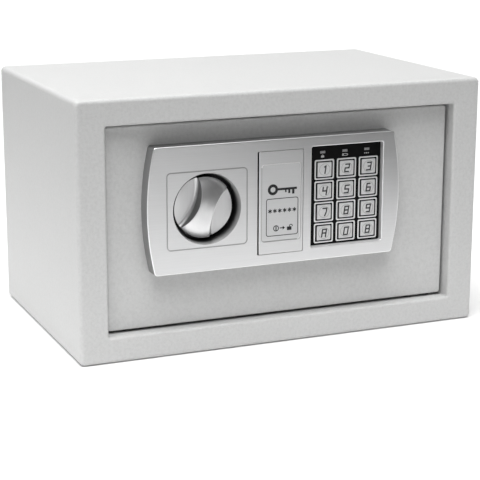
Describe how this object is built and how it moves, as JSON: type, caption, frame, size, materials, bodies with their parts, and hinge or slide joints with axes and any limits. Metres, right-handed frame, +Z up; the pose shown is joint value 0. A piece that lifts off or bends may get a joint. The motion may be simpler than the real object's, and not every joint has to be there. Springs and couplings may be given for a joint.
{
  "type": "in-room safe",
  "caption": "Small steel hotel room safe with a recessed hinged door, keypad, rotary handle, sliding bolts and a hidden emergency key lock.",
  "frame": {"origin": "middle of the bounding box at floor level, under the steel body", "axes": "+Z up, the door faces -Y, +X is to the right when facing the door, hinges on the +X side"},
  "size_m": [0.32, 0.203, 0.19],
  "materials": {
    "grey_paint": "fine textured powder coat, light grey",
    "carpet": "short pile felt, dark grey",
    "zinc_steel": "zinc plated",
    "steel_pin": "ground",
    "silver_plastic": "satin silver moulding",
    "key_silver": "satin silver keycap",
    "black_plastic": "black gloss",
    "clear_lens": "frosted lens",
    "foil": "brushed foil label",
    "silicone": "silicone",
    "board_green": "solder mask green",
    "components": "moulded black",
    "brass": "machined",
    "chrome": "polished",
    "copper_coil": "wound coil with tape",
    "cover_grey": "fine textured powder coat, light grey",
    "battery_jacket": "printed jacket",
    "red_button": "red",
    "lead_red": "insulated wire"
  },
  "bodies": {
    "safe_body": {"body_shell": "grey_paint", "front_frame": "grey_paint", "rear_panel": "grey_paint", "floor_mat": "carpet", "hinge_brackets": "grey_paint"},
    "door": {"door_panel": "grey_paint", "hinge_blocks": "grey_paint", "hinge_pins": "steel_pin", "hinge_washers": "zinc_steel", "control_fascia": "silver_plastic", "fascia_screws": "zinc_steel", "keypad_plate": "black_plastic", "key_bezels": "key_silver", "keypad_mat": "silicone", "keypad_board": "board_green", "keypad_cable": "silicone", "led_lenses": "clear_lens", "dial_bush": "brass", "key_lock_barrel": "chrome", "key_lock_nut": "zinc_steel", "bolt_guides": "steel_pin", "solenoid_frame": "zinc_steel", "solenoid_coil": "copper_coil", "main_board": "board_green", "board_components": "components", "board_standoffs": "brass", "battery_holder": "components", "batteries": "battery_jacket", "battery_leads": "lead_red", "lock_case": "cover_grey", "case_standoffs": "zinc_steel", "case_screws": "zinc_steel"},
    "dial": {"knob": "silver_plastic", "knob_shaft": "steel_pin", "dial_crank": "zinc_steel", "shaft_clip": "steel_pin"},
    "bolt_work": {"bolt_carriage": "zinc_steel", "blocking_lug": "zinc_steel", "lock_bolts": "chrome"},
    "solenoid_plunger": {"solenoid_plunger": "steel_pin"},
    "emergency_lock": {"key_lock_plug": "brass", "key_lock_cam": "zinc_steel"},
    "nameplate": {"nameplate_cover": "silver_plastic", "nameplate_label": "foil"},
    "battery_cover": {"battery_cover": "components"},
    "code_button": {"code_button": "red_button"},
    "key_1": {"key_1": "key_silver"},
    "key_2": {"key_2": "key_silver"},
    "key_3": {"key_3": "key_silver"},
    "key_4": {"key_4": "key_silver"},
    "key_5": {"key_5": "key_silver"},
    "key_6": {"key_6": "key_silver"},
    "key_7": {"key_7": "key_silver"},
    "key_8": {"key_8": "key_silver"},
    "key_9": {"key_9": "key_silver"},
    "key_a": {"key_a": "key_silver"},
    "key_0": {"key_0": "key_silver"},
    "key_b": {"key_b": "key_silver"}
  },
  "joints": [
    {"name": "door_swing", "type": "hinge", "parent": "safe_body", "child": "door", "pos_m": [0.1245, -0.0829, 0.095], "axis": [0, 0, 1], "range_deg": [0, 110]},
    {"name": "dial_turn", "type": "hinge", "parent": "door", "child": "dial", "pos_m": [-0.0643, -0.0985, 0.1075], "axis": [0, -1, 0], "range_deg": [0, 70]},
    {"name": "bolt_throw", "type": "slide", "parent": "door", "child": "bolt_work", "axis": [-1, 0, 0], "range_m": [0, 0.01147]},
    {"name": "plunger_lift", "type": "slide", "parent": "door", "child": "solenoid_plunger", "axis": [0, 0, 1], "range_m": [0, 0.006]},
    {"name": "emergency_lock_turn", "type": "hinge", "parent": "door", "child": "emergency_lock", "pos_m": [-0.007, -0.0985, 0.095], "axis": [0, -1, 0], "range_deg": [0, 90]},
    {"name": "cover_plate_pull", "type": "slide", "parent": "door", "child": "nameplate", "axis": [0, -1, 0], "range_m": [0, 0.03]},
    {"name": "battery_cover_pull", "type": "slide", "parent": "door", "child": "battery_cover", "axis": [0, 1, 0], "range_m": [0, 0.02]},
    {"name": "code_button_press", "type": "slide", "parent": "door", "child": "code_button", "axis": [0, -1, 0], "range_m": [0, 0.002], "stiffness_N_per_m": 400},
    {"name": "key_1_press", "type": "slide", "parent": "door", "child": "key_1", "axis": [0, 1, 0], "range_m": [0, 0.0008], "stiffness_N_per_m": 800},
    {"name": "key_2_press", "type": "slide", "parent": "door", "child": "key_2", "axis": [0, 1, 0], "range_m": [0, 0.0008], "stiffness_N_per_m": 800},
    {"name": "key_3_press", "type": "slide", "parent": "door", "child": "key_3", "axis": [0, 1, 0], "range_m": [0, 0.0008], "stiffness_N_per_m": 800},
    {"name": "key_4_press", "type": "slide", "parent": "door", "child": "key_4", "axis": [0, 1, 0], "range_m": [0, 0.0008], "stiffness_N_per_m": 800},
    {"name": "key_5_press", "type": "slide", "parent": "door", "child": "key_5", "axis": [0, 1, 0], "range_m": [0, 0.0008], "stiffness_N_per_m": 800},
    {"name": "key_6_press", "type": "slide", "parent": "door", "child": "key_6", "axis": [0, 1, 0], "range_m": [0, 0.0008], "stiffness_N_per_m": 800},
    {"name": "key_7_press", "type": "slide", "parent": "door", "child": "key_7", "axis": [0, 1, 0], "range_m": [0, 0.0008], "stiffness_N_per_m": 800},
    {"name": "key_8_press", "type": "slide", "parent": "door", "child": "key_8", "axis": [0, 1, 0], "range_m": [0, 0.0008], "stiffness_N_per_m": 800},
    {"name": "key_9_press", "type": "slide", "parent": "door", "child": "key_9", "axis": [0, 1, 0], "range_m": [0, 0.0008], "stiffness_N_per_m": 800},
    {"name": "key_a_press", "type": "slide", "parent": "door", "child": "key_a", "axis": [0, 1, 0], "range_m": [0, 0.0008], "stiffness_N_per_m": 800},
    {"name": "key_0_press", "type": "slide", "parent": "door", "child": "key_0", "axis": [0, 1, 0], "range_m": [0, 0.0008], "stiffness_N_per_m": 800},
    {"name": "key_b_press", "type": "slide", "parent": "door", "child": "key_b", "axis": [0, 1, 0], "range_m": [0, 0.0008], "stiffness_N_per_m": 800}
  ],
  "couplings": [
    {"joint": "dial_turn", "follows": "bolt_throw", "rad_per_m": 106.5}
  ]
}
